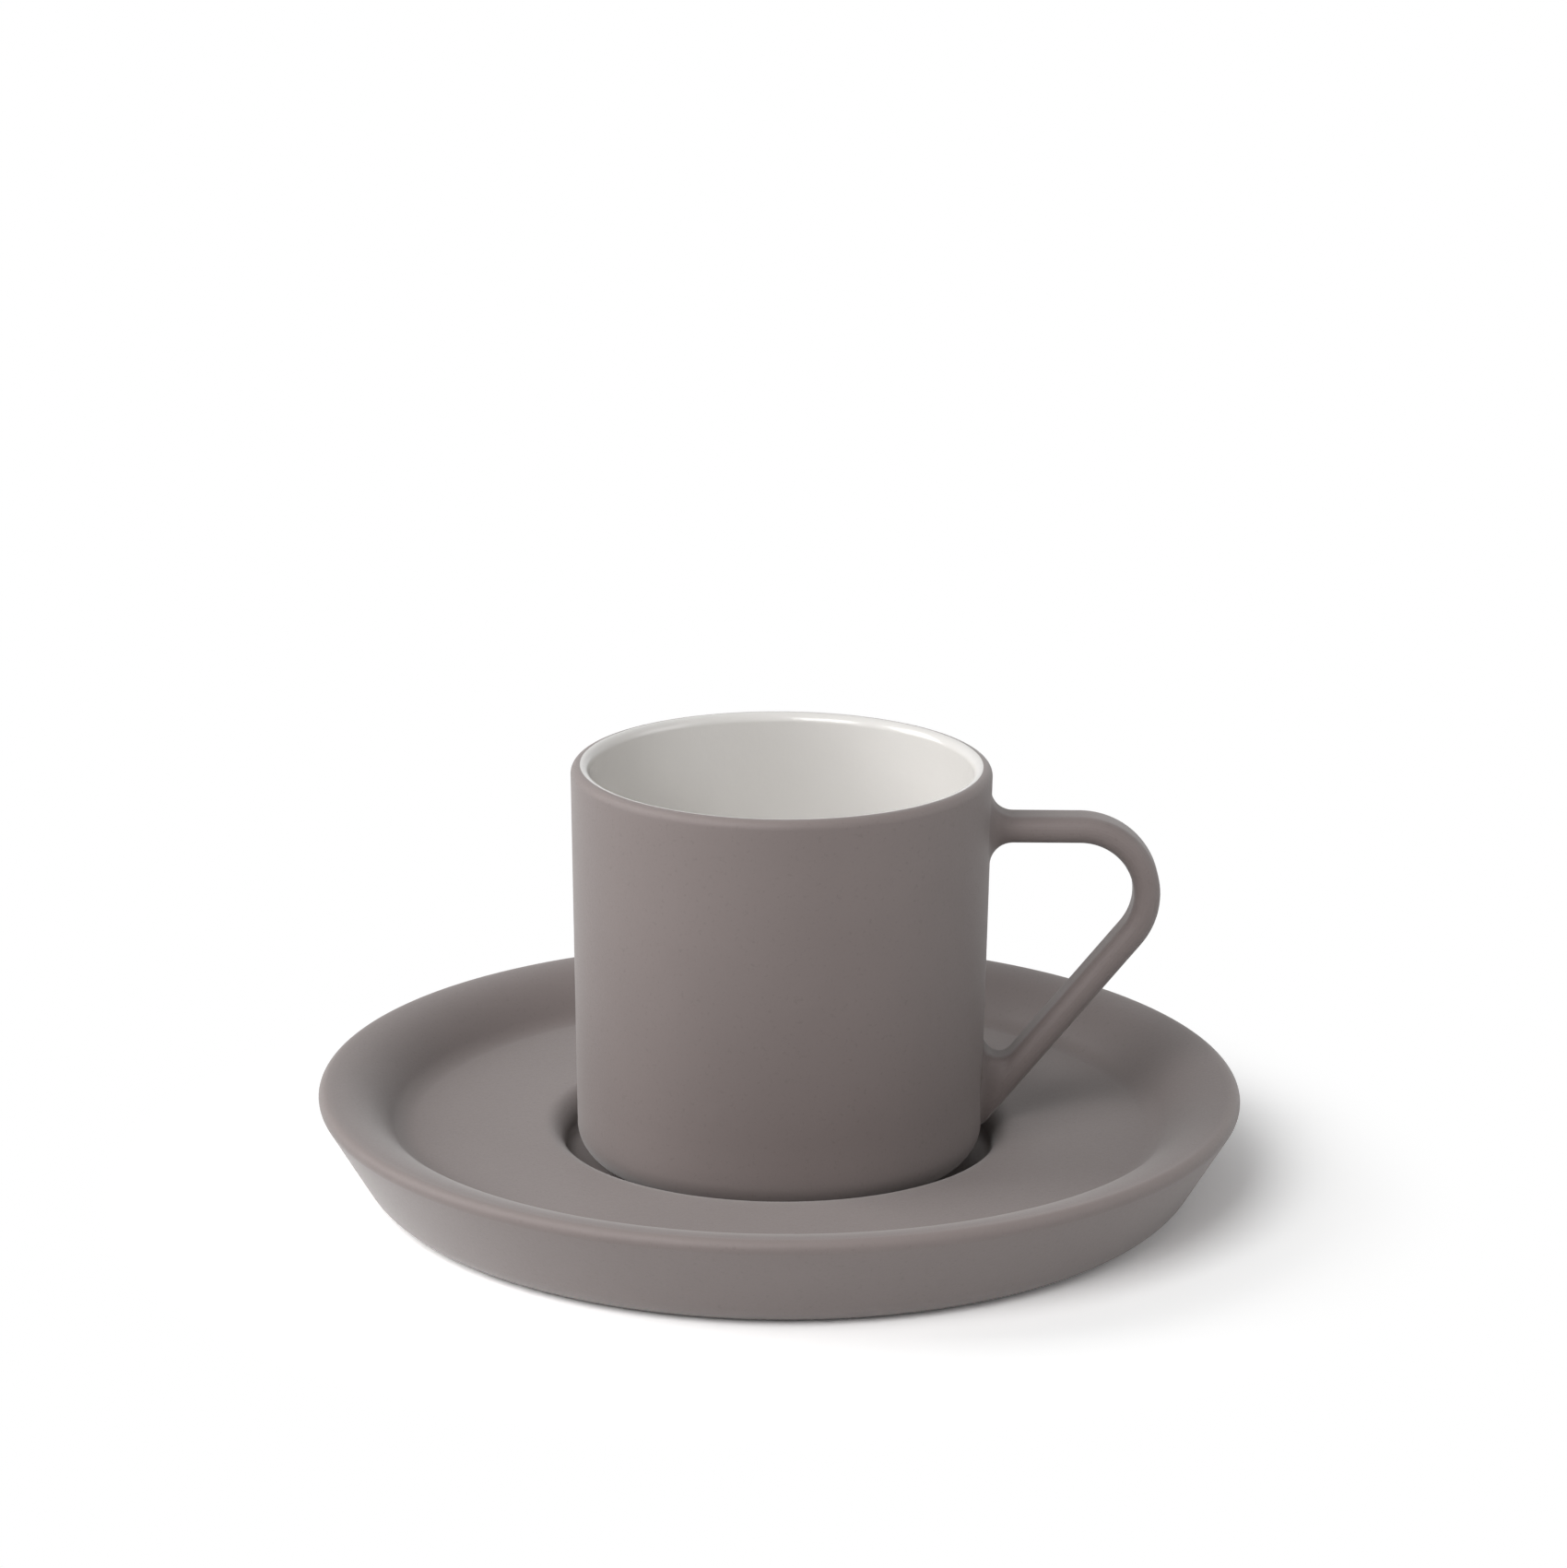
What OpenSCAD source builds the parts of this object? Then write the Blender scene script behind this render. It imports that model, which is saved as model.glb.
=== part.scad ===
// Coffee cup standing in the well of its saucer.
// Stoneware, matt warm grey outside, with a white glazed inside to the cup.
// Millimetres, +Z up. The origin is the saucer's centre on the table, and
// the cup's handle points along +X.

/* [Cup] */
// Outside diameter at the lip
cup_d = 63.2; // [56:0.1:72]
// Height from the foot to the lip
cup_h = 61.8; // [56:0.1:72]
// Angle by which the side wall leans out from upright
cup_lean = 0.9; // [0:0.1:2]
// Thickness of the side wall, rounded over at the lip
wall_t = 2.8; // [2.2:0.1:3.6]
// Thickness of the bottom
bottom_t = 3.6; // [2.8:0.1:5]
// Radius of the rounded heel, between side and bottom
heel_r = 4.8; // [3:0.1:7]
// Radius between the inside wall and the inside floor
bowl_r = 5.2; // [4:0.1:8]
// Height of the foot ring under the bottom
foot_h = 0.8; // [0.5:0.1:1.4]
// Width of the foot ring
foot_w = 3; // [2:0.1:5]
// Step from the foot ring out to the start of the heel
foot_inset = 1.1; // [0.6:0.1:2.5]

/* [Glaze] */
// Thickness of the white glaze that lines the cup
glaze_t = 0.45; // [0.3:0.05:0.7]

/* [Handle] */
// Width of the band, seen from the end
band_w = 7.2; // [6:0.1:9]
// Thickness of the band, seen from the side
band_t = 4; // [3.2:0.1:5]
// Rounding of the band's long edges
band_r = 1.9; // [0.8:0.1:1.9]
// Reach of the handle past the lip
handle_reach = 25.5; // [23:0.1:32]
// Distance from the lip down to the middle of the upper arm
arm_drop = 9.5; // [8.5:0.1:14]
// Radius of the bend, along the middle of the band
bend_r = 10.2; // [8:0.1:12]
// Height of the handle's lower edge where it meets the wall
root_h = 5.1; // [3.5:0.1:8]
// Radius of the hollow fillets where the upper arm joins the wall
arm_fillet_r = 3.4; // [1.4:0.1:4]
// Radius of the hollow fillet above the lower root
root_fillet_r = 2.6; // [1.2:0.1:3]
// Radius of the rounding under the lower root
toe_r = 3; // [2:0.1:4]
// Widening of the band on each side where it joins the wall
flare_w = 1.8; // [1:0.1:2.6]

/* [Saucer] */
// Diameter over the rim
saucer_d = 140; // [132:1:160]
// Height of the rim above the table
saucer_h = 15.8; // [14:0.1:20]
// Thickness of the rounded rim
rim_t = 2.6; // [2:0.1:3.2]
// Distance from the rim in to the outer edge of the standing ring
flare_in = 12.3; // [10:0.1:16]
// Radius between the outer wall and the standing ring
base_r = 6.8; // [4:0.1:8]
// Width of the standing ring
ring_w = 4; // [3:0.1:6]
// Height of the saucer's floor above the table
floor_h = 9; // [8.4:0.1:10]
// Thickness of the saucer's floor
floor_t = 3.4; // [2.8:0.1:4]
// Radius of the hollow curve at the foot of the rim's inner wall
cove_r = 4; // [3:0.1:6]
// Angle of the inner wall from level, at its steepest
rise = 55; // [48:1:60]

/* [Well] */
// Room between the cup's widest part and the well's wall
well_gap = 1; // [0.8:0.1:3]
// Thickness of the well's floor
well_t = 3; // [2.4:0.1:3.6]
// Height of the well's underside above the table
well_lift = 0.8; // [0.5:0.1:1.2]
// Radius of the rounded lip around the well
well_lip_r = 3.4; // [2:0.1:4]
// Radius between the well's wall and its floor
well_corner_r = 1.6; // [1:0.1:2.6]

/* [Hidden] */

// Steps that each rounded stretch is drawn in
arc_steps = 10;
bend_steps = 22;
line_steps = 4;
corner_steps = 4;
// Revolved pieces are true rounds at this setting
$fn = 96;

// Small rounding on the edges of both foot rings
edge_r = 0.35;
// Radius in the hollow under the saucer, beside the standing ring
hollow_r = 2.5;
// Radius in the hollow under the saucer, beside the well
neck_r = 1.5;
// Length by which the band runs on into the wall before its seat is cut
root_run = 8;
// Share of each root fillet that shows before the band enters the wall
fillet_share = 0.84;
// Largest shares of the well's depth for the lip and the corner
lip_share = 0.66;
corner_share = 0.33;
// Share of a section's half size that its rounded edge may take
edge_share = 0.95;

// Cup, in its own heights from the foot up
lip_r = wall_t / 2;
lip_x = cup_d / 2 - lip_r;
lip_z = cup_h - lip_r;
side_x = lip_x + lip_r * cos(cup_lean);
side_z = lip_z - lip_r * sin(cup_lean);
function side_at(z) = side_x - (side_z - z) * tan(cup_lean);
heel_z = foot_h + heel_r;
heel_x = side_at(heel_z - heel_r * sin(cup_lean)) - heel_r * cos(cup_lean);
foot_x = heel_x - foot_inset;
bowl_z = foot_h + bottom_t + bowl_r;
bowl_x = side_at(bowl_z - bowl_r * sin(cup_lean))
    - wall_t / cos(cup_lean) - bowl_r * cos(cup_lean);

// Saucer
rim_r = rim_t / 2;
rim_x = saucer_d / 2 - rim_r;
rim_z = saucer_h - rim_r;
ring_x = saucer_d / 2 - flare_in;
ring_in_x = ring_x - ring_w;
wall_dx = rim_x - ring_x;
wall_dz = rim_z - base_r;
wall_turn = atan2(wall_dz, wall_dx) - acos((base_r - rim_r) / norm([wall_dx, wall_dz]));
// The inner wall swells over from the hollow curve to the crest of the rim
sweep_r = (saucer_h - floor_h) / (1 - cos(rise));
shoulder_r = sweep_r - cove_r;
cove_z = floor_h + cove_r;
cove_x = rim_x - sweep_r * sin(rise);
seat_h = well_lift + well_t;
well_x = cup_d / 2 + well_gap;
well_depth = floor_h - seat_h;
lip_fit_r = min(well_lip_r, well_depth * lip_share);
corner_fit_r = min(well_corner_r, well_depth * corner_share);
corner_x = well_x - corner_fit_r;
corner_z = seat_h + corner_fit_r;
shell_r = corner_fit_r + well_t;
ceil_h = floor_h - floor_t;
neck_z = ceil_h - neck_r;
neck_turn = asin((corner_z - neck_z) / (shell_r + neck_r));
neck_x = corner_x + (shell_r + neck_r) * cos(neck_turn);

// Handle, in the cup's own heights, in the plane through the cup's axis
arm_z = cup_h - arm_drop;
bend_x = cup_d / 2 + handle_reach - band_t / 2 - bend_r;
bend_z = arm_z - bend_r;
arm_x = side_at(arm_z);
root_x = side_at(heel_z);
outer_r = bend_r + band_t / 2;
inner_r = bend_r - band_t / 2;
fall = atan2(bend_z - root_h, bend_x - root_x)
    - asin(outer_r / norm([bend_x - root_x, bend_z - root_h]));
out_turn = fall - 90;
outer_end = [bend_x + outer_r * cos(out_turn), bend_z + outer_r * sin(out_turn)];
inner_end = [bend_x + inner_r * cos(out_turn), bend_z + inner_r * sin(out_turn)];
toe_z = root_h + toe_r;
toe_x = outer_end[0] + ((toe_z - outer_end[1]) * cos(fall) - toe_r) / sin(fall);
crook_x = root_x + root_fillet_r;
crook_z = inner_end[1] + (root_fillet_r + (crook_x - inner_end[0]) * sin(fall)) / cos(fall);

// Points of an arc, about a centre, from one angle to another
function arc(x, z, r, from, to, steps) =
    [for (i = [0:steps]) let (a = from + (to - from) * i / steps) [x + r * cos(a), z + r * sin(a)]];

// Points between two ends, both left out
function between(a, b, steps) = [for (i = [1:steps - 1]) a + (b - a) * i / steps];

function last(list) = list[len(list) - 1];

// Inside surface of the cup, from the lip's crest to the floor's middle.
// Grown by the glaze, it is the clay surface that the glaze lies on.
function bowl_line(grow) = concat(
    arc(lip_x, lip_z, lip_r - grow, 90, 180 - cup_lean, arc_steps),
    arc(bowl_x, bowl_z, bowl_r + grow, -cup_lean, -90, arc_steps),
    [[0, bowl_z - bowl_r - grow]]);

// Outside surface of the cup, from the middle of the bottom to the lip's crest
function cup_line() = concat(
    [[0, foot_h], [foot_x - foot_w, foot_h]],
    arc(foot_x - foot_w + edge_r, edge_r, edge_r, 180, 270, corner_steps),
    arc(foot_x - edge_r, edge_r, edge_r, 270, 360, corner_steps),
    [[foot_x, foot_h]],
    arc(heel_x, heel_z, heel_r, -90, -cup_lean, arc_steps),
    arc(lip_x, lip_z, lip_r, -cup_lean, 90, arc_steps));

// The whole cup with no hollow, for cutting the handle's seats
module cup_block() {
    rotate_extrude() polygon(concat(cup_line(), [[0, cup_h]]));
}

module cup_body() {
    color([0.52, 0.48, 0.47])
        translate([0, 0, seat_h])
            rotate_extrude() polygon(concat(cup_line(), bowl_line(glaze_t)));
}

module cup_lining() {
    clay = bowl_line(glaze_t);
    color([0.93, 0.92, 0.89])
        translate([0, 0, seat_h])
            rotate_extrude()
                polygon(concat(bowl_line(0), [for (i = [len(clay) - 1:-1:0]) clay[i]]));
}

// The two edges of the band, seen from the side, as rails with matching steps:
// out of the wall, along the arm, round the bend, down the slope and back into
// the wall. The upper arm's fillets are hollow on both sides. The lower root
// has a hollow fillet above and is rounded under.
arm_top = arc(arm_x + arm_fillet_r, arm_z + band_t / 2 + arm_fillet_r, arm_fillet_r,
    270 - 90 * fillet_share, 270, arc_steps);
arm_under = arc(arm_x + arm_fillet_r, arm_z - band_t / 2 - arm_fillet_r, arm_fillet_r,
    90 + 90 * fillet_share, 90, arc_steps);
bend_out = arc(bend_x, bend_z, outer_r, 90, out_turn, bend_steps);
bend_in = arc(bend_x, bend_z, inner_r, 90, out_turn, bend_steps);
toe = arc(toe_x, toe_z, toe_r, out_turn, -90, arc_steps);
crook = arc(crook_x, crook_z, root_fillet_r,
    out_turn, out_turn - (90 + fall) * fillet_share, arc_steps);

outer_rail = concat(
    [[arm_x - root_run, arm_top[0][1]]],
    arm_top,
    between(last(arm_top), bend_out[0], line_steps),
    bend_out,
    between(last(bend_out), toe[0], line_steps),
    toe,
    [[root_x - root_run, last(toe)[1]]]);
inner_rail = concat(
    [[arm_x - root_run, arm_under[0][1]]],
    arm_under,
    between(last(arm_under), bend_in[0], line_steps),
    bend_in,
    between(last(bend_in), crook[0], line_steps),
    crook,
    [[root_x - root_run, last(crook)[1]]]);

// Half width of the band at a distance out from the wall: it flares in a
// quarter round as it nears the wall
function half_width(out) =
    let (near = flare_w - min(max(out, flare_w * (1 - fillet_share)), flare_w))
    band_w / 2 + flare_w - sqrt(flare_w * flare_w - near * near);

// One section of the band, a rounded rectangle from rail to rail
function section(low, high) =
    let (
        mid = (low + high) / 2,
        span = high - low,
        half = norm(span) / 2,
        dir = span / norm(span),
        wide = half_width(mid[0] - (mid[1] > bend_z ? arm_x : root_x)),
        r = min(band_r, half * edge_share, wide * edge_share),
        up = [1, -1, -1, 1],
        side = [1, 1, -1, -1])
    [for (q = [0:3]) for (j = [0:corner_steps])
        let (
            a = 90 * (q + j / corner_steps),
            u = up[q] * (half - r) + r * cos(a),
            v = side[q] * (wide - r) + r * sin(a))
        [mid[0] + u * dir[0], v, mid[1] + u * dir[1]]];

// Skin between neighbouring sections, with a cap on each end
module loft(sections) {
    n = len(sections);
    m = len(sections[0]);
    points = [for (s = sections) each s];
    skin = [for (i = [0:n - 2]) for (k = [0:m - 1])
        let (a = i * m + k, b = i * m + (k + 1) % m, c = a + m, d = b + m)
        each [[a, c, b], [b, c, d]]];
    first_cap = [for (k = [0:m - 1]) k];
    last_cap = [for (k = [m - 1:-1:0]) (n - 1) * m + k];
    polyhedron(points, concat(skin, [first_cap, last_cap]));
}

module cup_handle() {
    color([0.52, 0.48, 0.47])
        translate([0, 0, seat_h])
            difference() {
                loft([for (i = [0:len(outer_rail) - 1]) section(inner_rail[i], outer_rail[i])]);
                cup_block();
            }
}

// Section of the saucer: well, lip of the well, floor, cove, rim, outer wall,
// standing ring, and the hollow underneath
function saucer_line() = concat(
    [[0, seat_h]],
    arc(corner_x, corner_z, corner_fit_r, -90, 0, arc_steps),
    arc(well_x + lip_fit_r, floor_h - lip_fit_r, lip_fit_r, 180, 90, arc_steps),
    arc(cove_x, cove_z, cove_r, -90, rise - 90, arc_steps),
    arc(rim_x, saucer_h - shoulder_r, shoulder_r, rise + 90, 90, arc_steps),
    arc(rim_x, rim_z, rim_r, 90, wall_turn, arc_steps),
    arc(ring_x, base_r, base_r, wall_turn, -90, arc_steps),
    arc(ring_in_x + edge_r, edge_r, edge_r, -90, -180, corner_steps),
    arc(ring_in_x - hollow_r, ceil_h - hollow_r, hollow_r, 0, 90, arc_steps),
    arc(neck_x, neck_z, neck_r, 90, 180 - neck_turn, arc_steps),
    arc(corner_x, corner_z, shell_r, -neck_turn, -90, arc_steps),
    [[0, well_lift]]);

module saucer() {
    color([0.52, 0.48, 0.47])
        rotate_extrude() polygon(saucer_line());
}

cup_body();
cup_handle();
cup_lining();
saucer();
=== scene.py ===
import math

import bpy
from mathutils import Matrix, Vector


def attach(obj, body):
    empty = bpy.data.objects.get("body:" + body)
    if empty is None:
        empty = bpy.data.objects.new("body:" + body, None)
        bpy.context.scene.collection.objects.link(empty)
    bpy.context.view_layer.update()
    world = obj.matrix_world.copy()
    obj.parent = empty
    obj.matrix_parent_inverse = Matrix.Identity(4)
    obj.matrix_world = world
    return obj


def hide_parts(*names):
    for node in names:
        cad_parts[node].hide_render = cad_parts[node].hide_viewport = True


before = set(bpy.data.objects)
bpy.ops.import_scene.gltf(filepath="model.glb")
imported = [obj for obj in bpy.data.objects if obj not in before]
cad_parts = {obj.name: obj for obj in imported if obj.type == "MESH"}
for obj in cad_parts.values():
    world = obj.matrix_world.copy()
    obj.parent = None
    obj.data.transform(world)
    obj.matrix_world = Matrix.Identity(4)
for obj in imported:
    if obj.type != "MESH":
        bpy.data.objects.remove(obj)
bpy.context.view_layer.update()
MM = 0.001

# Camera: a long lens, an arm's length away, looking down across the table at
# the cup, with the handle square to the view.
CAMERA_AWAY = 725.6
CAMERA_UP = 266.4
CAMERA_TILT = 0.27406
CAMERA_TURN = 0.0004
CAMERA_ROLL = 0.00716
LENS_PIXELS = 5455.0
LONG_SIDE_PIXELS = 1701
SENSOR = 36.0
CLIP_NEAR = 0.05
CLIP_FAR = 20

bpy.ops.object.select_all(action="DESELECT")
bpy.ops.object.camera_add(location=(0, -CAMERA_AWAY * MM, CAMERA_UP * MM))
camera = bpy.context.object
camera.name = "camera"
camera.data.sensor_width = SENSOR
camera.data.lens = LENS_PIXELS * SENSOR / LONG_SIDE_PIXELS
camera.data.clip_start = CLIP_NEAR
camera.data.clip_end = CLIP_FAR
camera.rotation_euler = (
    Matrix.Rotation(-CAMERA_TURN, 3, "Z")
    @ Matrix.Rotation(math.pi / 2 - CAMERA_TILT, 3, "X")
    @ Matrix.Rotation(CAMERA_ROLL, 3, "Z")
).to_euler()
bpy.context.scene.camera = camera


# Saucer: pressed stoneware, fired with a matt warm grey glaze. One section, turned
# round the axis, holds the well, the floor, the swelling rim, the outer wall, the
# standing ring and the hollow underneath.
SAUCER_R = 69.99
SAUCER_TOP = 15.8
RIM_R = 1.3
RING_X = 57.7
RING_W = 4.0
RING_EDGE = 0.35
BASE_R = 6.8
FLOOR_Z = 9.0
CEILING_Z = 5.6
COVE_R = 4.0
RISE = 55.0
SEAT_Z = 3.8
WELL_X = 32.6
WELL_LIP = 3.4
WELL_CORNER = 1.6
WELL_UNDER = 0.8
HOLLOW_R = 2.5
NECK_R = 1.5
SAUCER_CREST = (14.6, 15.8, 67.6, 69.0)
TURN_STEPS = 256
MERGE = 1e-7
SMOOTH_UNDER = 40
GLAZE_DEEP = (0.186, 0.154, 0.147, 1)
GLAZE_PALE = (0.214, 0.178, 0.170, 1)
GLAZE_SPECK = (0.148, 0.119, 0.112, 1)
# Crest colour: partly glaze running thinner on the edge, partly a painted highlight on the top.
GLAZE_THIN_AND_HIGHLIGHT = (0.270, 0.228, 0.216, 1)
BARE_CLAY = (0.420, 0.360, 0.300, 1)
CLOUD_SCALE = 38.0
SPECKLE_SCALE = 1500.0
GRAIN_SCALE = 2600.0
SPECK_SHARE = 0.35
THIN_AND_HIGHLIGHT_SHARE = 0.45
BARE_WAVER = 0.0004
BARE_FROM, BARE_TO = 0.2, 0.32
BARE_DULLER = 0.25
MATT_LEAST, MATT_MOST = 0.52, 0.68
GRAIN_DEPTH = 0.00006
CLOUD_DEPTH = 0.0003


def start_section(x, z):
    """A new mesh of one point, from which a section is drawn in the XZ plane."""
    bpy.ops.object.select_all(action="DESELECT")
    bpy.ops.mesh.primitive_plane_add(size=MM, location=(0, 0, 0))
    bpy.ops.object.mode_set(mode="EDIT")
    bpy.ops.mesh.select_all(action="SELECT")
    bpy.ops.mesh.merge(type="CENTER")
    bpy.ops.transform.translate(value=(x * MM, 0, z * MM))
    return (x, z)


def line_to(here, x, z, steps=1):
    """Extrudes the end of the section straight to a point."""
    step = ((x - here[0]) * MM / steps, 0, (z - here[1]) * MM / steps)
    for _ in range(steps):
        bpy.ops.mesh.extrude_region_move(TRANSFORM_OT_translate={"value": step})
    return (x, z)


def arc_about(x, z, radius, start, end, steps):
    """Extrudes the end of the section round a centre, from one angle to another."""
    bpy.ops.mesh.spin(
        steps=steps,
        angle=math.radians(abs(end - start)),
        center=(x * MM, 0, z * MM),
        axis=(0, math.copysign(1, end - start), 0),
    )
    last = math.radians(end)
    return (x + radius * math.cos(last), z + radius * math.sin(last))


def polar(x, z, radius, angle):
    """A point at an angle about a centre."""
    a = math.radians(angle)
    return (x + radius * math.cos(a), z + radius * math.sin(a))


def turn_section(name):
    """Turns the drawn section round the axis into a closed, smooth body."""
    bpy.ops.mesh.select_all(action="SELECT")
    bpy.ops.mesh.spin(steps=TURN_STEPS, angle=math.tau, center=(0, 0, 0), axis=(0, 0, 1))
    bpy.ops.mesh.select_all(action="SELECT")
    bpy.ops.mesh.remove_doubles(threshold=MERGE)
    bpy.ops.mesh.normals_make_consistent(inside=False)
    bpy.ops.object.mode_set(mode="OBJECT")
    bpy.ops.object.shade_smooth_by_angle(angle=math.radians(SMOOTH_UNDER))
    piece = bpy.context.object
    piece.name = piece.data.name = name
    return piece


def feed(tree, socket, value):
    """Sets a socket, or links it when the value is another node's output."""
    if isinstance(value, bpy.types.NodeSocket):
        tree.links.new(value, socket)
    else:
        socket.default_value = value


def put(tree, kind, **settings):
    """Adds a node. A setting is a property, a socket's value or a link into it."""
    node = tree.nodes.new(kind)
    node.location = (190 * len(tree.nodes), 0)
    for name, value in settings.items():
        if hasattr(node, name):
            setattr(node, name, value)
        else:
            feed(tree, node.inputs[name.replace("_", " ")], value)
    return node


def mixed(tree, mask, plain, other):
    """A colour that runs from one to the other by a mask."""
    node = put(tree, "ShaderNodeMix", data_type="RGBA")
    for socket, value in ((0, mask), (6, plain), (7, other)):
        feed(tree, node.inputs[socket], value)
    return node.outputs[2]


def maths(tree, operation, *values, **settings):
    """The result of a maths node fed with values or links in order."""
    node = put(tree, "ShaderNodeMath", operation=operation, **settings)
    for socket, value in zip(node.inputs, values):
        feed(tree, socket, value)
    return node.outputs[0]


def cleared(holder):
    """The node tree of a new material or world, with nothing in it yet."""
    holder.use_nodes = True
    holder.node_tree.nodes.clear()
    return holder.node_tree


def group_of(name, given, taken):
    """A new node group with its named inputs and outputs."""
    group = bpy.data.node_groups.new(name, "ShaderNodeTree")
    for title, kind in given:
        group.interface.new_socket(title, in_out="INPUT", socket_type=kind)
    for title, kind in taken:
        group.interface.new_socket(title, in_out="OUTPUT", socket_type=kind)
    return group, group.nodes.new("NodeGroupInput"), group.nodes.new("NodeGroupOutput")


# Fired surface: broad clouds in the glaze, small speckle, and fine grain.
fired, given, taken = group_of(
    "fired_surface",
    [("Vector", "NodeSocketVector"), ("Cloud Scale", "NodeSocketFloat"),
     ("Speckle Scale", "NodeSocketFloat"), ("Grain Scale", "NodeSocketFloat")],
    [("Cloud", "NodeSocketFloat"), ("Speckle", "NodeSocketFloat"), ("Grain", "NodeSocketFloat")],
)
cloud = put(fired, "ShaderNodeTexNoise", Vector=given.outputs["Vector"],
            Scale=given.outputs["Cloud Scale"], Detail=3.0, Roughness=0.55)
speckle = put(fired, "ShaderNodeTexNoise", Vector=given.outputs["Vector"],
              Scale=given.outputs["Speckle Scale"], Detail=2.0, Roughness=0.6)
specks = put(fired, "ShaderNodeMapRange", interpolation_type="SMOOTHSTEP",
             Value=speckle.outputs["Fac"], From_Min=0.58, From_Max=0.74)
grain = put(fired, "ShaderNodeTexNoise", Vector=given.outputs["Vector"],
            Scale=given.outputs["Grain Scale"], Detail=4.0, Roughness=0.7)
fired.links.new(cloud.outputs["Fac"], taken.inputs["Cloud"])
fired.links.new(specks.outputs[0], taken.inputs["Speckle"])
fired.links.new(grain.outputs["Fac"], taken.inputs["Grain"])

# A band between two heights and two radii about the axis, with soft edges.
collar, given, taken = group_of(
    "collar",
    [("Vector", "NodeSocketVector"), ("Low", "NodeSocketFloat"), ("High", "NodeSocketFloat"),
     ("Inside", "NodeSocketFloat"), ("Outside", "NodeSocketFloat")],
    [("Upward", "NodeSocketFloat"), ("Outward", "NodeSocketFloat")],
)
parts = put(collar, "ShaderNodeSeparateXYZ", Vector=given.outputs["Vector"])
flat = put(collar, "ShaderNodeVectorMath", operation="MULTIPLY")
collar.links.new(given.outputs["Vector"], flat.inputs[0])
flat.inputs[1].default_value = (1, 1, 0)
reach = put(collar, "ShaderNodeVectorMath", operation="LENGTH")
collar.links.new(flat.outputs[0], reach.inputs[0])
upward = put(collar, "ShaderNodeMapRange", interpolation_type="SMOOTHSTEP",
             Value=parts.outputs["Z"], From_Min=given.outputs["Low"],
             From_Max=given.outputs["High"])
outward = put(collar, "ShaderNodeMapRange", interpolation_type="SMOOTHSTEP",
              Value=reach.outputs["Value"], From_Min=given.outputs["Inside"],
              From_Max=given.outputs["Outside"])
collar.links.new(upward.outputs[0], taken.inputs["Upward"])
collar.links.new(outward.outputs[0], taken.inputs["Outward"])


def matt_stoneware(name, crest, bare_below):
    """Matt warm grey glaze, paler at a crest where the glaze runs thinner and a highlight is
    painted, and bare clay below a height.
    """
    material = bpy.data.materials.new(name)
    tree = cleared(material)
    place = tree.nodes.new("ShaderNodeTexCoord").outputs["Object"]
    surface = put(tree, "ShaderNodeGroup", node_tree=fired, Vector=place,
                  Cloud_Scale=CLOUD_SCALE, Speckle_Scale=SPECKLE_SCALE, Grain_Scale=GRAIN_SCALE)
    cloudy = mixed(tree, surface.outputs["Cloud"], GLAZE_DEEP, GLAZE_PALE)
    specked = maths(tree, "MULTIPLY", surface.outputs["Speckle"], SPECK_SHARE)
    dotted = mixed(tree, specked, cloudy, GLAZE_SPECK)
    # Paler crest: partly thinner glaze, partly a painted highlight where the light falls on the
    # top.
    low, high, inside, outside = (v * MM for v in crest)
    top = put(tree, "ShaderNodeGroup", node_tree=collar, Vector=place,
              Low=low, High=high, Inside=inside, Outside=outside)
    crest_thin_and_highlight = maths(tree, "MULTIPLY", top.outputs["Upward"], top.outputs["Outward"])
    edged = mixed(tree, maths(tree, "MULTIPLY", crest_thin_and_highlight, THIN_AND_HIGHLIGHT_SHARE), dotted, GLAZE_THIN_AND_HIGHLIGHT)
    wavy = put(tree, "ShaderNodeTexNoise", Vector=place, Scale=160.0, Detail=2.0)
    height = put(tree, "ShaderNodeSeparateXYZ", Vector=place)
    shift = maths(tree, "MULTIPLY_ADD", wavy.outputs["Fac"], BARE_WAVER, height.outputs["Z"])
    bare = put(tree, "ShaderNodeMapRange", interpolation_type="SMOOTHSTEP", Value=shift,
               From_Min=(bare_below + BARE_FROM) * MM, From_Max=(bare_below + BARE_TO) * MM,
               To_Min=1.0, To_Max=0.0)
    colour = mixed(tree, bare.outputs[0], edged, BARE_CLAY)
    gloss = put(tree, "ShaderNodeMapRange", Value=surface.outputs["Grain"],
                From_Min=0.3, From_Max=0.7, To_Min=MATT_LEAST, To_Max=MATT_MOST)
    dull = maths(tree, "MULTIPLY_ADD", bare.outputs[0], BARE_DULLER, gloss.outputs[0])
    relief = put(tree, "ShaderNodeBump", Strength=0.35, Distance=GRAIN_DEPTH,
                 Height=surface.outputs["Grain"])
    wave = put(tree, "ShaderNodeBump", Strength=0.25, Distance=CLOUD_DEPTH,
               Height=surface.outputs["Cloud"], Normal=relief.outputs["Normal"])
    shader = put(tree, "ShaderNodeBsdfPrincipled", Base_Color=colour, Roughness=dull,
                 Normal=wave.outputs["Normal"])
    shader.inputs["Specular IOR Level"].default_value = 0.5
    shader.inputs["Sheen Weight"].default_value = 0.3
    shader.inputs["Sheen Roughness"].default_value = 0.5
    put(tree, "ShaderNodeOutputMaterial", Surface=shader.outputs[0])
    return material


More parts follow.
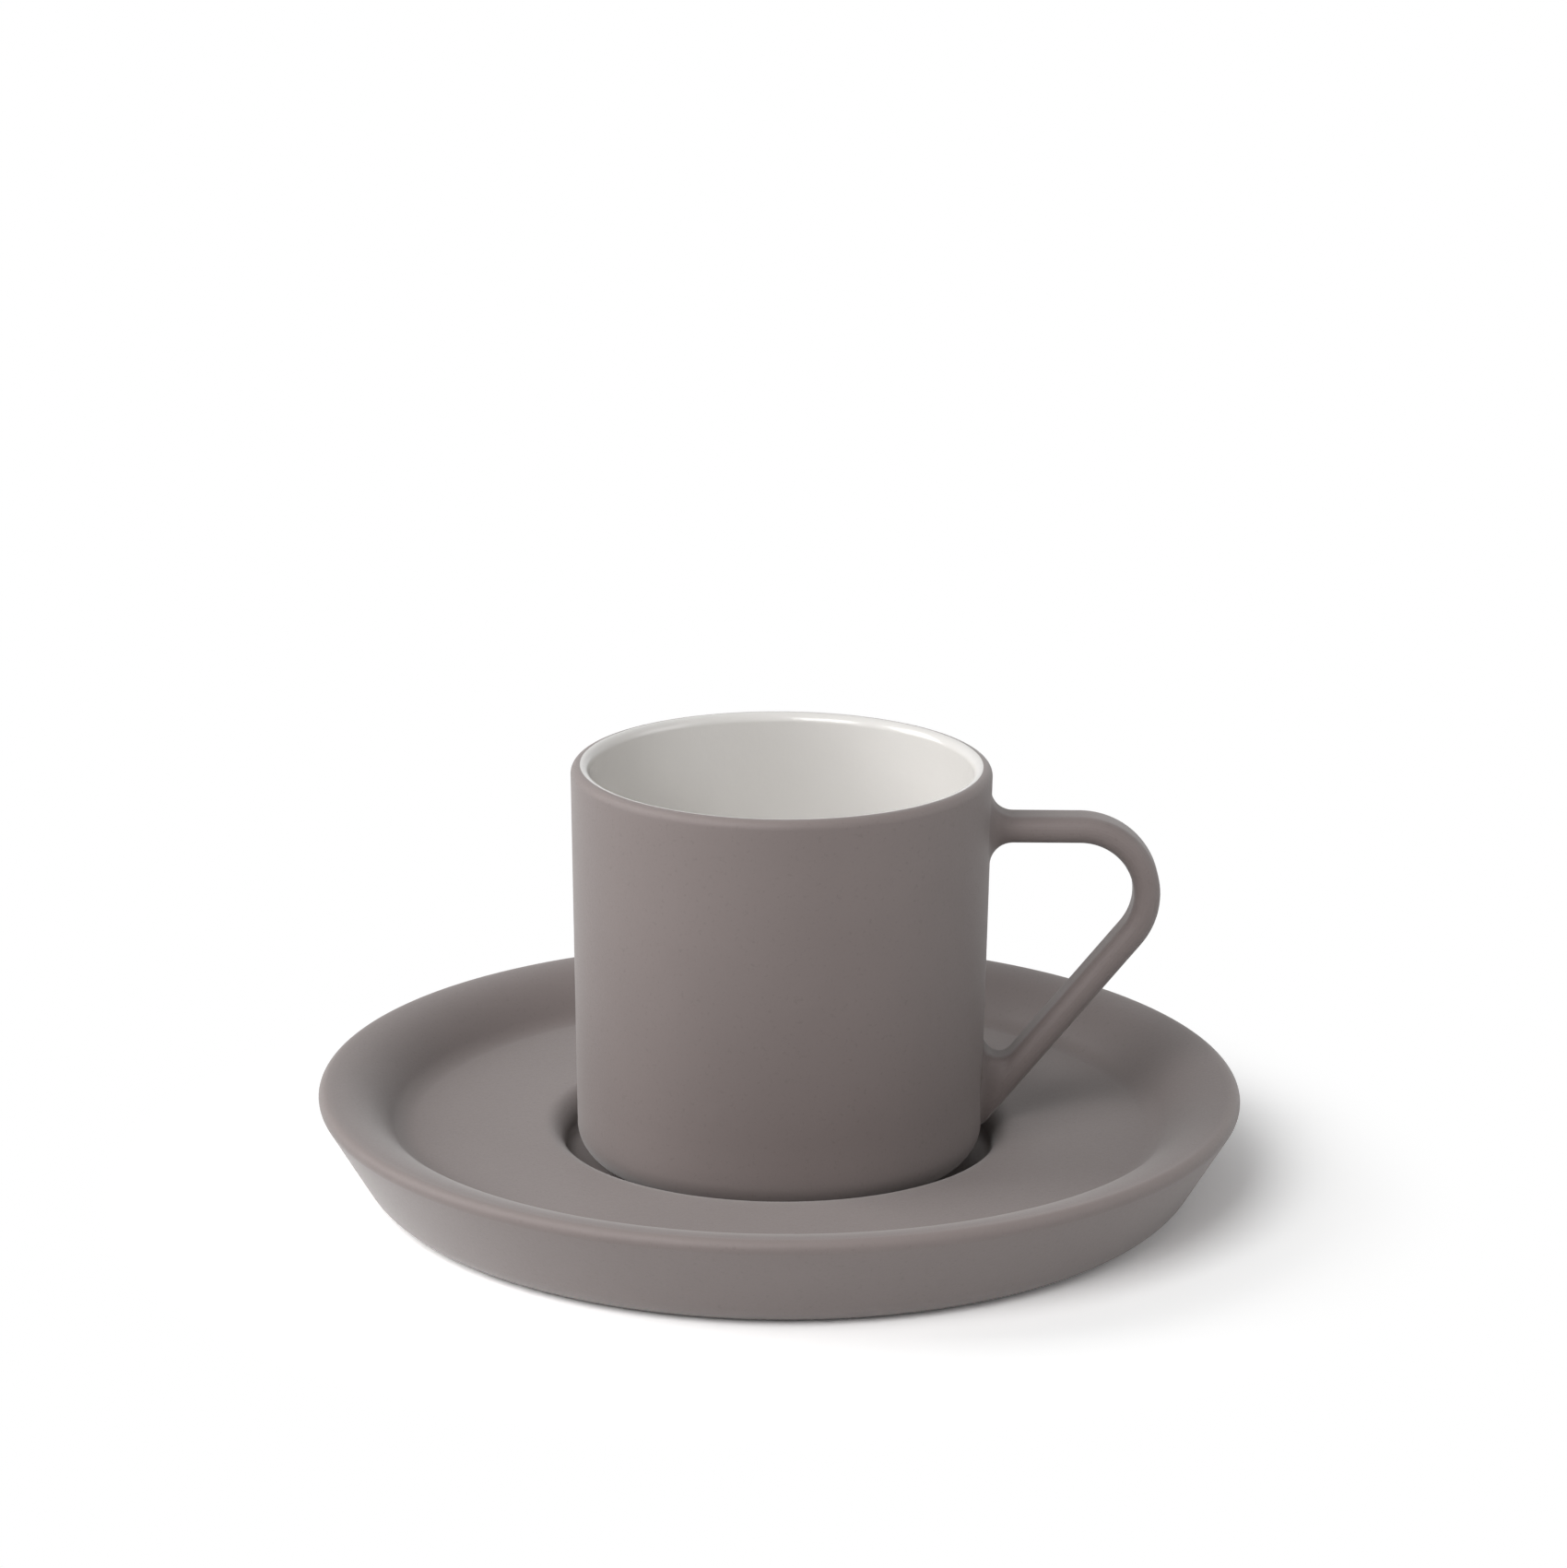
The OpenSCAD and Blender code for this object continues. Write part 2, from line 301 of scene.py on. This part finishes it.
rim_x, rim_z = SAUCER_R - RIM_R, SAUCER_TOP - RIM_R
wall_turn = math.degrees(
    math.atan2(rim_z - BASE_R, rim_x - RING_X)
    - math.acos((BASE_R - RIM_R) / math.hypot(rim_x - RING_X, rim_z - BASE_R))
)
sweep_r = (SAUCER_TOP - FLOOR_Z) / (1 - math.cos(math.radians(RISE)))
shoulder_r = sweep_r - COVE_R
cove_z = FLOOR_Z + COVE_R
cove_x = rim_x - sweep_r * math.sin(math.radians(RISE))
corner_x, corner_z = WELL_X - WELL_CORNER, SEAT_Z + WELL_CORNER
shell_r = WELL_CORNER + SEAT_Z - WELL_UNDER
neck_z = CEILING_Z - NECK_R
neck_turn = math.degrees(math.asin((corner_z - neck_z) / (shell_r + NECK_R)))
neck_x = corner_x + (shell_r + NECK_R) * math.cos(math.radians(neck_turn))

at = start_section(0, SEAT_Z)
at = line_to(at, corner_x, SEAT_Z, 12)
at = arc_about(corner_x, corner_z, WELL_CORNER, -90, 0, 10)
at = line_to(at, WELL_X, FLOOR_Z - WELL_LIP)
at = arc_about(WELL_X + WELL_LIP, FLOOR_Z - WELL_LIP, WELL_LIP, 180, 90, 10)
at = line_to(at, cove_x, FLOOR_Z, 10)
at = arc_about(cove_x, cove_z, COVE_R, -90, RISE - 90, 14)
at = arc_about(rim_x, SAUCER_TOP - shoulder_r, shoulder_r, RISE + 90, 90, 18)
at = arc_about(rim_x, rim_z, RIM_R, 90, wall_turn, 14)
at = line_to(at, *polar(RING_X, BASE_R, BASE_R, wall_turn), 6)
at = arc_about(RING_X, BASE_R, BASE_R, wall_turn, -90, 12)
at = line_to(at, RING_X - RING_W + RING_EDGE, 0, 3)
at = arc_about(RING_X - RING_W + RING_EDGE, RING_EDGE, RING_EDGE, -90, -180, 4)
at = line_to(at, RING_X - RING_W, CEILING_Z - HOLLOW_R, 2)
at = arc_about(RING_X - RING_W - HOLLOW_R, CEILING_Z - HOLLOW_R, HOLLOW_R, 0, 90, 8)
at = line_to(at, neck_x, CEILING_Z, 6)
at = arc_about(neck_x, neck_z, NECK_R, 90, 180 - neck_turn, 6)
at = arc_about(corner_x, corner_z, shell_r, -neck_turn, -90, 8)
at = line_to(at, 0, WELL_UNDER, 12)
saucer = turn_section("saucer_clay")
saucer.data.materials.append(matt_stoneware("saucer_glaze", SAUCER_CREST, 0))
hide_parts("saucer")
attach(saucer, "saucer")


# Cup body: slip-cast stoneware, upright and a touch wider at the lip, with a
# rounded heel on a low foot ring. The clay steps back under the lip's crest
# for the white glaze.
CUP_R = 31.6
CUP_TOP = 65.6
LEAN = 0.9
WALL = 2.8
BOTTOM = 3.6
HEEL_R = 4.8
BOWL_R = 5.2
FOOT_H = 0.8
FOOT_W = 3.0
FOOT_STEP = 1.1
FOOT_EDGE = 0.35
GLAZE = 0.45
CUP_CREST = (64.4, 65.6, 29.5, 30.6)

lip_r = WALL / 2
lip_x, lip_z = CUP_R - lip_r, CUP_TOP - lip_r
side_x, side_z = polar(lip_x, lip_z, lip_r, -LEAN)


def side_at(z):
    """Radius of the cup's outside wall at a height."""
    return side_x - (side_z - z) * math.tan(math.radians(LEAN))


lean_cos, lean_sin = math.cos(math.radians(LEAN)), math.sin(math.radians(LEAN))
heel_z = SEAT_Z + FOOT_H + HEEL_R
heel_x = side_at(heel_z - HEEL_R * lean_sin) - HEEL_R * lean_cos
foot_x = heel_x - FOOT_STEP
bowl_z = SEAT_Z + FOOT_H + BOTTOM + BOWL_R
bowl_x = side_at(bowl_z - BOWL_R * lean_sin) - WALL / lean_cos - BOWL_R * lean_cos

at = start_section(0, SEAT_Z + FOOT_H)
at = line_to(at, foot_x - FOOT_W, SEAT_Z + FOOT_H, 8)
at = line_to(at, foot_x - FOOT_W, SEAT_Z + FOOT_EDGE)
at = arc_about(foot_x - FOOT_W + FOOT_EDGE, SEAT_Z + FOOT_EDGE, FOOT_EDGE, 180, 270, 4)
at = line_to(at, foot_x - FOOT_EDGE, SEAT_Z, 3)
at = arc_about(foot_x - FOOT_EDGE, SEAT_Z + FOOT_EDGE, FOOT_EDGE, -90, 0, 4)
at = line_to(at, foot_x, SEAT_Z + FOOT_H)
at = line_to(at, heel_x, SEAT_Z + FOOT_H)
at = arc_about(heel_x, heel_z, HEEL_R, -90, -LEAN, 18)
at = line_to(at, side_x, side_z, 24)
at = arc_about(lip_x, lip_z, lip_r, -LEAN, 90, 12)
at = line_to(at, lip_x, CUP_TOP - GLAZE)
at = arc_about(lip_x, lip_z, lip_r - GLAZE, 90, 180 - LEAN, 10)
at = line_to(at, *polar(bowl_x, bowl_z, BOWL_R + GLAZE, -LEAN), 20)
at = arc_about(bowl_x, bowl_z, BOWL_R + GLAZE, -LEAN, -90, 12)
at = line_to(at, 0, bowl_z - BOWL_R - GLAZE, 8)
cup = turn_section("cup_clay")
cup.data.materials.append(matt_stoneware("cup_outer_glaze", CUP_CREST, SEAT_Z))
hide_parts("cup_body")
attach(cup, "cup")


# Glaze lining: a smooth white coat over the whole inside, from the crest of
# the lip down to the floor, thinnest on the crest and pooled in the corner.
# The crest is painted paler: partly thinner glaze, partly a painted highlight.
WHITE_WARM = (0.760, 0.738, 0.708, 1)
WHITE_COOL = (0.785, 0.768, 0.745, 1)
WHITE_POOL = (0.735, 0.715, 0.685, 1)
WHITE_THIN_AND_HIGHLIGHT = (0.800, 0.780, 0.755, 1)
WHITE_CLOUD_SCALE = 70.0
WHITE_SPECKLE_SCALE = 1300.0
WHITE_WAVE_SCALE = 420.0
WHITE_WAVE_DEPTH = 0.0002
SHINE_LEAST, SHINE_MOST = 0.14, 0.22

at = start_section(lip_x, CUP_TOP)
at = arc_about(lip_x, lip_z, lip_r, 90, 180 - LEAN, 14)
at = line_to(at, *polar(bowl_x, bowl_z, BOWL_R, -LEAN), 20)
at = arc_about(bowl_x, bowl_z, BOWL_R, -LEAN, -90, 14)
at = line_to(at, 0, bowl_z - BOWL_R, 10)
at = line_to(at, 0, bowl_z - BOWL_R - GLAZE)
at = line_to(at, bowl_x, bowl_z - BOWL_R - GLAZE, 8)
at = arc_about(bowl_x, bowl_z, BOWL_R + GLAZE, -90, -LEAN, 12)
at = line_to(at, *polar(lip_x, lip_z, lip_r - GLAZE, 180 - LEAN), 20)
at = arc_about(lip_x, lip_z, lip_r - GLAZE, 180 - LEAN, 90, 10)
at = line_to(at, lip_x, CUP_TOP)
lining = turn_section("cup_glaze")
white = bpy.data.materials.new("white_glaze")
tree = cleared(white)
place = tree.nodes.new("ShaderNodeTexCoord").outputs["Object"]
surface = put(
    tree, "ShaderNodeGroup", node_tree=fired, Vector=place, Cloud_Scale=WHITE_CLOUD_SCALE,
    Speckle_Scale=WHITE_SPECKLE_SCALE, Grain_Scale=WHITE_WAVE_SCALE,
)
cloudy = mixed(tree, surface.outputs["Cloud"], WHITE_WARM, WHITE_COOL)
pool = put(
    tree, "ShaderNodeGroup", node_tree=collar, Vector=place,
    Low=(bowl_z - BOWL_R - 0.2) * MM, High=(bowl_z - 2) * MM,
    Inside=(bowl_x - 6) * MM, Outside=(bowl_x + 5) * MM,
)
corner = maths(tree, "SUBTRACT", pool.outputs["Outward"], pool.outputs["Upward"], use_clamp=True)
pooled = mixed(tree, corner, cloudy, WHITE_POOL)
# Paler band on top of the lip: thinner glaze plus a painted highlight.
edge = put(
    tree, "ShaderNodeGroup", node_tree=collar, Vector=place,
    Low=(CUP_TOP - 0.5) * MM, High=(CUP_TOP - 0.05) * MM,
    Inside=(lip_x - 0.6) * MM, Outside=(lip_x - 0.05) * MM,
)
lip_thin_and_highlight = maths(tree, "MULTIPLY", edge.outputs["Upward"], edge.outputs["Outward"])
colour = mixed(tree, lip_thin_and_highlight, pooled, WHITE_THIN_AND_HIGHLIGHT)
gloss = put(tree, "ShaderNodeMapRange", Value=surface.outputs["Cloud"],
            From_Min=0.3, From_Max=0.7, To_Min=SHINE_LEAST, To_Max=SHINE_MOST)
relief = put(tree, "ShaderNodeBump", Strength=0.2, Distance=WHITE_WAVE_DEPTH,
             Height=surface.outputs["Grain"])
shader = put(tree, "ShaderNodeBsdfPrincipled", Base_Color=colour, Roughness=gloss.outputs[0],
             Normal=relief.outputs["Normal"])
shader.inputs["Coat Weight"].default_value = 0.3
shader.inputs["Coat Roughness"].default_value = 0.08
put(tree, "ShaderNodeOutputMaterial", Surface=shader.outputs[0])
lining.data.materials.append(white)
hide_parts("cup_lining")
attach(lining, "cup")


# Handle: a pressed stoneware band, squarer than round with soft edges, luted
# onto the wall at two roots. The arm flares into the wall in hollow fillets,
# and the slope comes in over a crook and a rounded toe.
BAND_W = 7.2
BAND_T = 4.0
BAND_EDGE = 1.9
REACH = 57.1
ARM_Z = 56.1
BEND_R = 10.2
LOWER_EDGE = 8.9
ARM_FILLET = 3.4
CROOK_R = 2.6
TOE_R = 3.0
FLARE = 1.8
ROOT_SHARE = 0.97
ROOT_DEPTH = 1.9
LEAN_IN = 4.0
EDGE_SEGMENTS = 7
FLAT_CUTS = 5
FLAT_LEAST = 0.6
ROOT_STEPS = 16
BEND_STEPS = 36
BAND_STEPS = 12
BAND_SMOOTH_UNDER = 45
# The top of the arm gets the paler crest colour: a painted highlight where light falls on it.
HANDLE_TOP_HIGHLIGHT = (ARM_Z + 0.8, ARM_Z + 2.0, 40, 70)
NO_BARE_CLAY = -10


def ring_points(x, z, radius, start, end, steps):
    """Points round a centre, from one angle to another."""
    return [polar(x, z, radius, start + (end - start) * i / steps) for i in range(steps + 1)]


def steps_between(a, b, steps):
    """Points between two points, without the points themselves."""
    return [
        (a[0] + (b[0] - a[0]) * i / steps, a[1] + (b[1] - a[1]) * i / steps)
        for i in range(1, steps)
    ]


arm_x, root_x = side_at(ARM_Z), side_at(heel_z)
bend_x, bend_z = REACH - BAND_T / 2 - BEND_R, ARM_Z - BEND_R
outer_r, inner_r = BEND_R + BAND_T / 2, BEND_R - BAND_T / 2
down_x, down_z = bend_x - root_x, bend_z - LOWER_EDGE
fall = math.degrees(math.atan2(down_z, down_x) - math.asin(outer_r / math.hypot(down_x, down_z)))
out_turn = fall - 90
fall_cos, fall_sin = math.cos(math.radians(fall)), math.sin(math.radians(fall))
outer_end = polar(bend_x, bend_z, outer_r, out_turn)
inner_end = polar(bend_x, bend_z, inner_r, out_turn)
toe_z = LOWER_EDGE + TOE_R
toe_x = outer_end[0] + ((toe_z - outer_end[1]) * fall_cos - TOE_R) / fall_sin
crook_x = root_x + CROOK_R
crook_z = inner_end[1] + (CROOK_R + (crook_x - inner_end[0]) * fall_sin) / fall_cos

arm_top = ring_points(
    arm_x + ARM_FILLET, ARM_Z + BAND_T / 2 + ARM_FILLET, ARM_FILLET, 270 - 90 * ROOT_SHARE, 270,
    ROOT_STEPS,
)
arm_under = ring_points(
    arm_x + ARM_FILLET, ARM_Z - BAND_T / 2 - ARM_FILLET, ARM_FILLET, 90 + 90 * ROOT_SHARE, 90,
    ROOT_STEPS,
)
bend_out = ring_points(bend_x, bend_z, outer_r, 90, out_turn, BEND_STEPS)
bend_in = ring_points(bend_x, bend_z, inner_r, 90, out_turn, BEND_STEPS)
toe = ring_points(toe_x, toe_z, TOE_R, out_turn, -90, ROOT_STEPS)
crook = ring_points(
    crook_x, crook_z, CROOK_R, out_turn, out_turn - (90 + fall) * ROOT_SHARE, ROOT_STEPS
)
outer_rail = (
    [(arm_x - ROOT_DEPTH, arm_top[0][1])] + arm_top
    + steps_between(arm_top[-1], bend_out[0], BAND_STEPS) + bend_out
    + steps_between(bend_out[-1], toe[0], BAND_STEPS) + toe
    + [(root_x - ROOT_DEPTH, toe[-1][1])]
)
inner_rail = (
    [(arm_x - ROOT_DEPTH, arm_under[0][1])] + arm_under
    + steps_between(arm_under[-1], bend_in[0], BAND_STEPS) + bend_in
    + steps_between(bend_in[-1], crook[0], BAND_STEPS) + crook
    + [(root_x - ROOT_DEPTH, crook[-1][1])]
)

bpy.ops.object.select_all(action="DESELECT")
bpy.ops.mesh.primitive_plane_add(size=MM, location=(0, 0, 0), rotation=(0, math.pi / 2, 0))
bpy.ops.object.transform_apply(location=True, rotation=True, scale=True)
handle = bpy.context.object
handle.name = handle.data.name = "handle_band"
bpy.ops.object.mode_set(mode="EDIT")
bpy.ops.mesh.select_all(action="SELECT")
bpy.ops.transform.resize(value=(1, BAND_W, BAND_T))
bpy.ops.mesh.bevel(offset=BAND_EDGE * MM, segments=EDGE_SEGMENTS, profile=0.5, affect="VERTICES")
bpy.ops.object.mode_set(mode="OBJECT")
for edge in handle.data.edges:
    a, b = (handle.data.vertices[v].co for v in edge.vertices)
    edge.select = (a - b).length > FLAT_LEAST * MM
bpy.ops.object.mode_set(mode="EDIT")
bpy.ops.mesh.select_mode(type="EDGE")
bpy.ops.mesh.subdivide(number_cuts=FLAT_CUTS)
bpy.ops.mesh.select_mode(type="FACE")
bpy.ops.mesh.select_all(action="SELECT")

now_x, now_z, now_turn, now_t, now_w = 0, 0, 0, BAND_T, BAND_W
for i, (low, high) in enumerate(zip(inner_rail, outer_rail)):
    mid_x, mid_z = (low[0] + high[0]) / 2, (low[1] + high[1]) / 2
    thick = math.hypot(high[0] - low[0], high[1] - low[1])
    turn = math.atan2(high[0] - low[0], high[1] - low[1])
    out = mid_x - (arm_x if mid_z > bend_z else root_x)
    near = FLARE - min(max(out, FLARE * (1 - ROOT_SHARE) ** 2), FLARE)
    wide = BAND_W + 2 * (FLARE - math.sqrt(FLARE * FLARE - near * near))
    move = ((mid_x - now_x) * MM, 0, (mid_z - now_z) * MM)
    if i:
        bpy.ops.mesh.extrude_region_move(TRANSFORM_OT_translate={"value": move})
    else:
        bpy.ops.transform.translate(value=move)
    centre = (mid_x * MM, 0, mid_z * MM)
    bpy.ops.transform.rotate(value=now_turn, orient_axis="Y", center_override=centre)
    bpy.ops.transform.resize(value=(1, wide / now_w, thick / now_t), center_override=centre)
    bpy.ops.transform.rotate(value=-turn, orient_axis="Y", center_override=centre)
    now_x, now_z, now_turn, now_t, now_w = mid_x, mid_z, turn, thick, wide
bpy.ops.mesh.select_all(action="SELECT")
bpy.ops.mesh.normals_make_consistent(inside=False)
bpy.ops.object.mode_set(mode="OBJECT")

# The roots lean onto the round wall, fully where they meet it and no longer 4 mm out.
for vertex in handle.data.vertices:
    x, y, z = vertex.co / MM
    foot = arm_x if z > bend_z else root_x
    fade = min(max(1 - (x - foot) / LEAN_IN, 0), 1)
    fade = fade * fade * (3 - 2 * fade)
    vertex.co.x += fade * (math.sqrt(side_at(z) ** 2 - y * y) - foot) * MM
bpy.ops.object.shade_smooth_by_angle(angle=math.radians(BAND_SMOOTH_UNDER))
handle.data.materials.append(matt_stoneware("handle_glaze", HANDLE_TOP_HIGHLIGHT, NO_BARE_CLAY))
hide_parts("cup_handle")
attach(handle, "cup")


# Floor: a white table that runs out to plain white, and keeps the soft shadow
# and the contact line under the standing ring.
FLOOR_SIZE = 8.0
TABLE_LIT = (0.86, 0.86, 0.86, 1)
TABLE_SEEN = (1.35, 1.35, 1.35, 1)
TABLE_LIFT = 0.03
FADE_FROM, FADE_TO = 0.06, 0.105


def seen_as_is(tree):
    """1 for the rays that show the white table and room, 0 for those that light the cup."""
    path = tree.nodes.new("ShaderNodeLightPath")
    seen = maths(tree, "MAXIMUM", path.outputs["Is Camera Ray"], path.outputs["Is Glossy Ray"])
    return maths(tree, "MAXIMUM", seen, path.outputs["Is Transmission Ray"])


bpy.ops.object.select_all(action="DESELECT")
bpy.ops.mesh.primitive_plane_add(size=FLOOR_SIZE, location=(0, 0, 0))
floor = bpy.context.object
floor.name = floor.data.name = "floor"
table = bpy.data.materials.new("white_table")
tree = cleared(table)
place = tree.nodes.new("ShaderNodeTexCoord")
away = put(tree, "ShaderNodeVectorMath", operation="LENGTH", Vector=place.outputs["Object"])
far = put(tree, "ShaderNodeMapRange", interpolation_type="SMOOTHSTEP",
          Value=away.outputs["Value"], From_Min=FADE_FROM, From_Max=FADE_TO)
shown = seen_as_is(tree)
matt = put(tree, "ShaderNodeBsdfDiffuse", Color=mixed(tree, shown, TABLE_LIT, TABLE_SEEN))
glow = put(tree, "ShaderNodeEmission", Color=(1, 1, 1, 1),
           Strength=maths(tree, "MULTIPLY", shown, TABLE_LIFT))
lit = tree.nodes.new("ShaderNodeAddShader")
tree.links.new(matt.outputs[0], lit.inputs[0])
tree.links.new(glow.outputs[0], lit.inputs[1])
plain = put(tree, "ShaderNodeEmission", Color=(1, 1, 1, 1), Strength=shown)
blend = put(tree, "ShaderNodeMixShader", Fac=maths(tree, "MULTIPLY", far.outputs[0], shown))
tree.links.new(lit.outputs[0], blend.inputs[1])
tree.links.new(plain.outputs[0], blend.inputs[2])
put(tree, "ShaderNodeOutputMaterial", Surface=blend.outputs[0])
floor.data.materials.append(table)


# Light: large soft lamps on the left and on the camera's left, a weak one on the
# right, and a pale room all round.
LAMP_SIZE = 0.9
LAMP_AIM = (0, 0, 0.03)
ROOM_LIGHT = 0.08


def soft_lamp(name, place, watts):
    """A square lamp that faces the cup."""
    bpy.ops.object.light_add(type="AREA", location=place)
    lamp = bpy.context.object
    lamp.name = lamp.data.name = name
    lamp.data.shape = "SQUARE"
    lamp.data.size = LAMP_SIZE
    lamp.data.energy = watts
    aim = Vector(LAMP_AIM) - Vector(place)
    lamp.rotation_euler = aim.to_track_quat("-Z", "Y").to_euler()


soft_lamp("window_left", (-1.3, 0.1, 0.72), 13)
soft_lamp("window_front", (-0.6, -1.05, 1.0), 16.5)
soft_lamp("reflector_right", (1.25, -0.25, 0.6), 4)
room = bpy.data.worlds.new("pale_room")
bpy.context.scene.world = room
tree = cleared(room)
dim = put(tree, "ShaderNodeBackground", Color=(1, 1, 1, 1), Strength=ROOM_LIGHT)
bright = put(tree, "ShaderNodeBackground", Color=(1, 1, 1, 1), Strength=1.0)
blend = put(tree, "ShaderNodeMixShader", Fac=seen_as_is(tree))
tree.links.new(dim.outputs[0], blend.inputs[1])
tree.links.new(bright.outputs[0], blend.inputs[2])
put(tree, "ShaderNodeOutputWorld", Surface=blend.outputs[0])

bpy.context.scene.view_settings.view_transform = "Standard"
